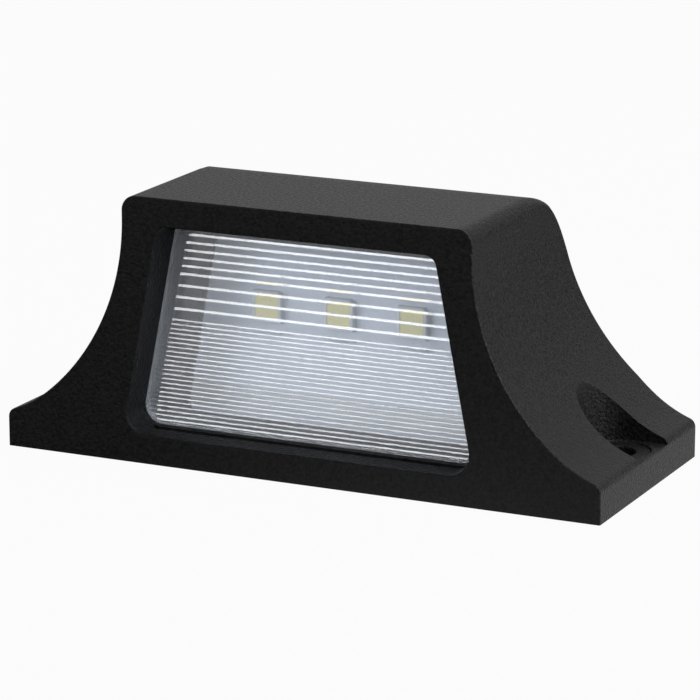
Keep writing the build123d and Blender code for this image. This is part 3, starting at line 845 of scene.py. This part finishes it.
end_tree(row_tree, spread.outputs["Instances"], given["Material"])

# %% LED package and phosphor fill
LED_Z, LED_FRONT, BOARD_FRONT = 23.4, -3.35, -1.85
LED_HALF, CORNER_CUT, LED_EDGE = 2.5, 0.7, 0.15
CUP_HALF, CUP_ROUND, CUP_DEPTH, CUP_STEPS = 2.0, 0.6, 0.6, 8
# How far the outline of the cup grows, and how far that row lies behind the front of the LED
CUP_ROWS = [(0.2, -0.1), (0.05, 0.0), (-0.1, CUP_DEPTH)]
FILL_ROWS = [(-0.45, 0.12), (-0.2, 0.1), (-0.03, 0.05), (-0.12, CUP_DEPTH - 0.02)]


def led_loop(y, inset):
    """Outline of the package, a square with one cut corner."""
    h, c = LED_HALF - inset, CORNER_CUT
    plan = [(-h, -h), (h, -h), (h, h - c), (h - c, h), (-h, h)]
    return [(x, y, LED_Z + z) for x, z in plan]


def cup_loop(grow, depth):
    """Outline of the square cup with rounded corners, larger by a distance, at a depth."""
    flat, radius = CUP_HALF - CUP_ROUND, CUP_ROUND + grow
    corners = [(flat, -flat, -pi / 2), (flat, flat, 0), (-flat, flat, pi / 2), (-flat, -flat, pi)]
    return [(x + radius * cos(a), LED_FRONT + depth, LED_Z + z + radius * sin(a))
            for x, z, start in corners for a in sweep(start, start + pi / 2, CUP_STEPS)]


package_rows = [(LED_FRONT, LED_EDGE), (LED_FRONT + LED_EDGE, 0), (BOARD_FRONT, 0)]
package = loft("package", [led_loop(y, inset) for y, inset in package_rows], led_moulding)
carve(package, loft("cup", [cup_loop(grow, depth) for grow, depth in CUP_ROWS], led_moulding))
fill = loft("fill", [cup_loop(grow, depth) for grow, depth in FILL_ROWS], phosphor_silicone)
print("faces of one LED:", len(package.data.polygons), "and", len(fill.data.polygons))

# %% Row of LEDs
LED_PITCH, LED_COUNT = 12.4, 3


def carrier(name):
    """An empty piece for a tree to fill."""
    piece = bpy.data.objects.new(name, bpy.data.meshes.new(name))
    scene.collection.objects.link(piece)
    return piece


for master, name, slot, node, material in (
    (package, "led_packages", "led_package", "led", led_moulding),
    (fill, "phosphor_fills", "phosphor", "phosphor", phosphor_silicone),
):
    row = carrier(name)
    run_tree(row, row_tree, {
        "Piece": master,
        "Count": LED_COUNT,
        "Pitch": LED_PITCH / 1000,
        "Material": material,
    })
    bpy.data.objects.remove(master)
    soften(row, angle=35)
    dress(row, slot, *[f"{node}_{place}" for place in ("left", "centre", "right")])

# %% [markdown]
# ## The screws of the underside
# A base plate closes the housing from below, held by four countersunk screws. One screw is turned from a
# list of radii and heights, and its cross recess is cut. A tree then puts a copy at each corner of a
# rectangle.

# %% One screw
# Radius and height
SCREW_ROWS = [(2.5, 0.02), (2.64, 0.06), (2.7, 0.16), (1.45, 1.25), (1.45, 8.9), (1.0, 9.5)]
# Length of an arm from the middle, half its width, and height
CROSS_ROWS = [(1.4, 0.38, -0.1), (1.3, 0.35, 0.1), (0.6, 0.25, 0.8)]


def cross_loop(arm, width, z):
    """Outline of a cross with four equal arms."""
    plan = [(width, width), (width, arm), (-width, arm), (-width, width), (-arm, width), (-arm, -width)]
    return [(x, y, z) for x, y in plan] + [(-x, -y, z) for x, y in plan]


screw = loft("screw", [level_circle(radius, 0, 0, z) for radius, z in SCREW_ROWS], zinc_steel)
carve(screw, loft("recess", [cross_loop(*row) for row in CROSS_ROWS], zinc_steel))
print("faces of one screw:", len(screw.data.polygons))

# %% Screws at the corners
corner_tree, given = new_tree("repeat_at_corners", {
    "Piece": "Object",
    "Spacing X": "Float",
    "Spacing Y": "Float",
    "Material": "Material",
})
source = add(corner_tree, "GeometryNodeObjectInfo", {"Object": given["Piece"]}, transform_space="ORIGINAL")
corners = add(corner_tree, "GeometryNodeMeshGrid", {
    "Size X": given["Spacing X"],
    "Size Y": given["Spacing Y"],
    "Vertices X": 2,
    "Vertices Y": 2,
})
placed = add(corner_tree, "GeometryNodeInstanceOnPoints", {
    "Points": corners.outputs["Mesh"],
    "Instance": source.outputs["Geometry"],
})
end_tree(corner_tree, placed.outputs["Instances"], given["Material"])
screws = carrier("cross_recess_screws")
run_tree(screws, corner_tree, {
    "Piece": screw,
    "Spacing X": 2 * SCREW_X / 1000,
    "Spacing Y": 2 * SCREW_Y / 1000,
    "Material": zinc_steel,
})
bpy.data.objects.remove(screw)
soften(screws, angle=35)
dress(screws, "screw_steel", "plate_screws")

# %% [markdown]
# ## The cable grommet
# The cable comes in through a rubber grommet in the base plate, a short tube with a rounded flange on each
# side of the plate's web. It is one closed ring of circles: out and up along the outside, and back down the
# bore.

# %% Cable grommet
GROMMET_Y = 8.0
LOW_FLANGE, HIGH_FLANGE, NECK_RADIUS = 0.05, 3.15, 3.5
# Radius, and height above the flange's foot
FLANGE_ROWS = [(4.9, 0.0), (5.18, 0.1), (5.3, 0.35), (5.3, 0.75), (5.18, 1.0), (4.9, 1.1)]
# Radius and height, from the top down
BORE_ROWS = [(2.5, 4.25), (2.28, 4.15), (2.2, 3.9), (2.2, 0.4), (2.28, 0.15)]
low_rows = [(radius, LOW_FLANGE + z) for radius, z in FLANGE_ROWS]
high_rows = [(radius, HIGH_FLANGE + z) for radius, z in FLANGE_ROWS]
neck_rows = [(NECK_RADIUS, low_rows[-1][1]), (NECK_RADIUS, HIGH_FLANGE)]
grommet_rows = [(BORE_ROWS[0][0], LOW_FLANGE)] + low_rows + neck_rows + high_rows + BORE_ROWS
grommet_loops = [level_circle(radius, 0, GROMMET_Y, z) for radius, z in grommet_rows]
grommet = loft("rubber_grommet", grommet_loops, epdm, ring=True)
soften(grommet, angle=40)
dress(grommet, "black_rubber", "cable_grommet")

# %% [markdown]
# ## Finishes of the pieces that stay as they are
# The board, the parts on its back, the seals and the base plate have mostly flat faces, so their shape in
# the solid model is already right. Each one gets its finish in the object's own material slots.

# %% Finishes on the solid model
FINISHES = {
    "circuit_board": solder_mask,
    "driver_chip": epoxy,
    "polarity_diode": epoxy,
    "surge_suppressor": epoxy,
    "input_capacitor": tan_ceramic,
    "sense_resistors": glazed_alumina,
    "solder_pads": tinned_copper,
    "base_plate": base_abs,
    "base_seal": epdm,
    "lens_seal": epdm,
}
for name, material in FINISHES.items():
    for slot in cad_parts[name].material_slots:
        slot.material = material
print("finished nodes:", len(FINISHES))

# %% [markdown]
# ## The floor
# The background is white, so the floor is white to the camera and to a ray through the lens. For a reflected
# ray a pool of light is painted round the lamp's right end, with a faint painted glow beyond it, which keeps
# the front dark and the end of the foot bright.
# A little of the floor stays a plain lit surface, painted board with a roller texture, so that the shadow
# under the lamp remains.

# %% Floor
ROLLER, FLOOR_HALF, FLOOR_Z = 2.0, 3000.0, -0.05
# Centre, radius and outer end of the pool of light painted on the floor for reflected rays, and its painted
# glow inside and beyond it
PAINTED_POOL_CENTRE, PAINTED_POOL_RADIUS, PAINTED_POOL_END = (44.0, 26.0, 0.0), 52.0, 90.0
PAINTED_POOL_GLOW, PAINTED_GLOW_BEYOND, SEEN_WHITE = 1.0, 0.05, 0.96
# Painted board: matt grey with a faint roller texture, under the white that the camera sees, and with a pool
# of light painted round the lamp's right end that only reflections show.
painted_board, tree, place = new_material("painted_board")
path = add(tree, "ShaderNodeLightPath").outputs
away = add(tree, "ShaderNodeVectorMath", {0: place, 1: PAINTED_POOL_CENTRE}, operation="DISTANCE").outputs["Value"]
# Painted pool of light: full glow within its radius, falling to a faint painted glow at its outer end
near = add(tree, "ShaderNodeMapRange", {
    "Value": away,
    "From Min": PAINTED_POOL_RADIUS,
    "From Max": PAINTED_POOL_END,
    "To Min": PAINTED_POOL_GLOW,
    "To Max": PAINTED_GLOW_BEYOND,
}).outputs["Result"]
painted_pool_share = add(tree, "ShaderNodeMath", {0: path["Is Glossy Ray"], 1: near}, operation="MULTIPLY").outputs[0]
either = {0: path["Is Camera Ray"], 1: path["Is Transmission Ray"]}
straight = add(tree, "ShaderNodeMath", either, operation="MAXIMUM").outputs[0]
seen = add(tree, "ShaderNodeMath", {0: straight, 1: SEEN_WHITE}, operation="MULTIPLY").outputs[0]
share = add(tree, "ShaderNodeMath", {0: seen, 1: painted_pool_share}, operation="MAXIMUM").outputs[0]
roller = add(tree, "ShaderNodeTexNoise", {"Vector": place, "Scale": 1 / ROLLER, "Detail": 2.0})
grey = add(tree, "ShaderNodeMix", {
    MIX_SHARE: roller.outputs["Fac"],
    MIX_FIRST: linear("#6e6e6e"),
    MIX_SECOND: linear("#727272"),
}, data_type="RGBA")
lit = add(tree, "ShaderNodeBsdfDiffuse", {"Color": grey.outputs[MIX_RESULT]}).outputs[0]
white = add(tree, "ShaderNodeEmission", {"Color": linear("#ffffff"), "Strength": 1.0}).outputs[0]
surface = add(tree, "ShaderNodeMixShader", {0: share, 1: lit, 2: white}).outputs[0]
add(tree, "ShaderNodeOutputMaterial", {"Surface": surface})
corners = [(-1, -1), (1, -1), (1, 1), (-1, 1)]
floor_points = [(x * FLOOR_HALF, y * FLOOR_HALF, FLOOR_Z) for x, y in corners]
floor = piece_from("studio_floor", floor_points, [(0, 1, 2, 3)], painted_board)
print("floor side in metres:", 2 * FLOOR_HALF / 1000)

# %% [markdown]
# ## The sky
# The sky too is white to the camera and to a ray through the lens. For all other light it is a room that is
# paler on the left and at the back, and a little stronger in reflections.

# %% Sky
ROOM_GAIN = 0.25
sky = bpy.data.worlds.new("studio")
sky.use_nodes = True
tree = sky.node_tree
tree.nodes.clear()
direction = add(tree, "ShaderNodeTexCoord").outputs["Generated"]
look = add(tree, "ShaderNodeSeparateXYZ", {"Vector": direction}).outputs
across = add(tree, "ShaderNodeMapRange", {
    "Value": look["X"],
    "From Max": 0.4,
    "To Min": 0.65,
    "To Max": 0.18,
}).outputs["Result"]
behind = add(tree, "ShaderNodeMapRange", {
    "Value": look["Y"],
    "From Min": -0.3,
    "From Max": 0.3,
    "To Min": 0.25,
}).outputs["Result"]
room = add(tree, "ShaderNodeMath", {0: across, 1: behind}, operation="MULTIPLY").outputs[0]
path = add(tree, "ShaderNodeLightPath").outputs
stronger = {0: path["Is Glossy Ray"], 1: ROOM_GAIN, 2: 1.0}
gain = add(tree, "ShaderNodeMath", stronger, operation="MULTIPLY_ADD").outputs[0]
around = add(tree, "ShaderNodeMath", {0: room, 1: gain}, operation="MULTIPLY").outputs[0]
either = {0: path["Is Camera Ray"], 1: path["Is Transmission Ray"]}
straight = add(tree, "ShaderNodeMath", either, operation="MAXIMUM").outputs[0]
strength = add(tree, "ShaderNodeMath", {0: straight, 1: around}, operation="MAXIMUM").outputs[0]
even = add(tree, "ShaderNodeBackground", {"Color": linear("#ffffff"), "Strength": strength})
add(tree, "ShaderNodeOutputWorld", {"Surface": even.outputs[0]})
scene.world = sky
print("sky:", sky.name)

# %% [markdown]
# ## The lamps
# A softbox at the front left is what the facets of the ribs mirror as bright lines. One on the right lights
# the housing, and a weak one at the front right lifts the shadows behind the lens and in the screw pocket.

# %% Softboxes
AIM = Vector((0.0, 0.0, 0.02))


def softbox(name, place, size, radiance):
    """A square lamp that faces the object, with the same brightness whatever its size."""
    data = bpy.data.lights.new(name, "AREA")
    data.size = size
    data.energy = radiance * pi * size ** 2
    lamp = bpy.data.objects.new(name, data)
    lamp.location = place
    lamp.rotation_euler = (AIM - Vector(place)).to_track_quat("-Z", "Y").to_euler()
    scene.collection.objects.link(lamp)


softbox("right_softbox", place=(0.64, -0.05, 0.42), size=0.5, radiance=13.0)
softbox("front_softbox", place=(-0.337, -0.715, 0.205), size=0.18, radiance=10.5)
softbox("fill_softbox", place=(0.4, -0.65, 0.35), size=0.3, radiance=1.8)
print("lamps:", len(bpy.data.lights))
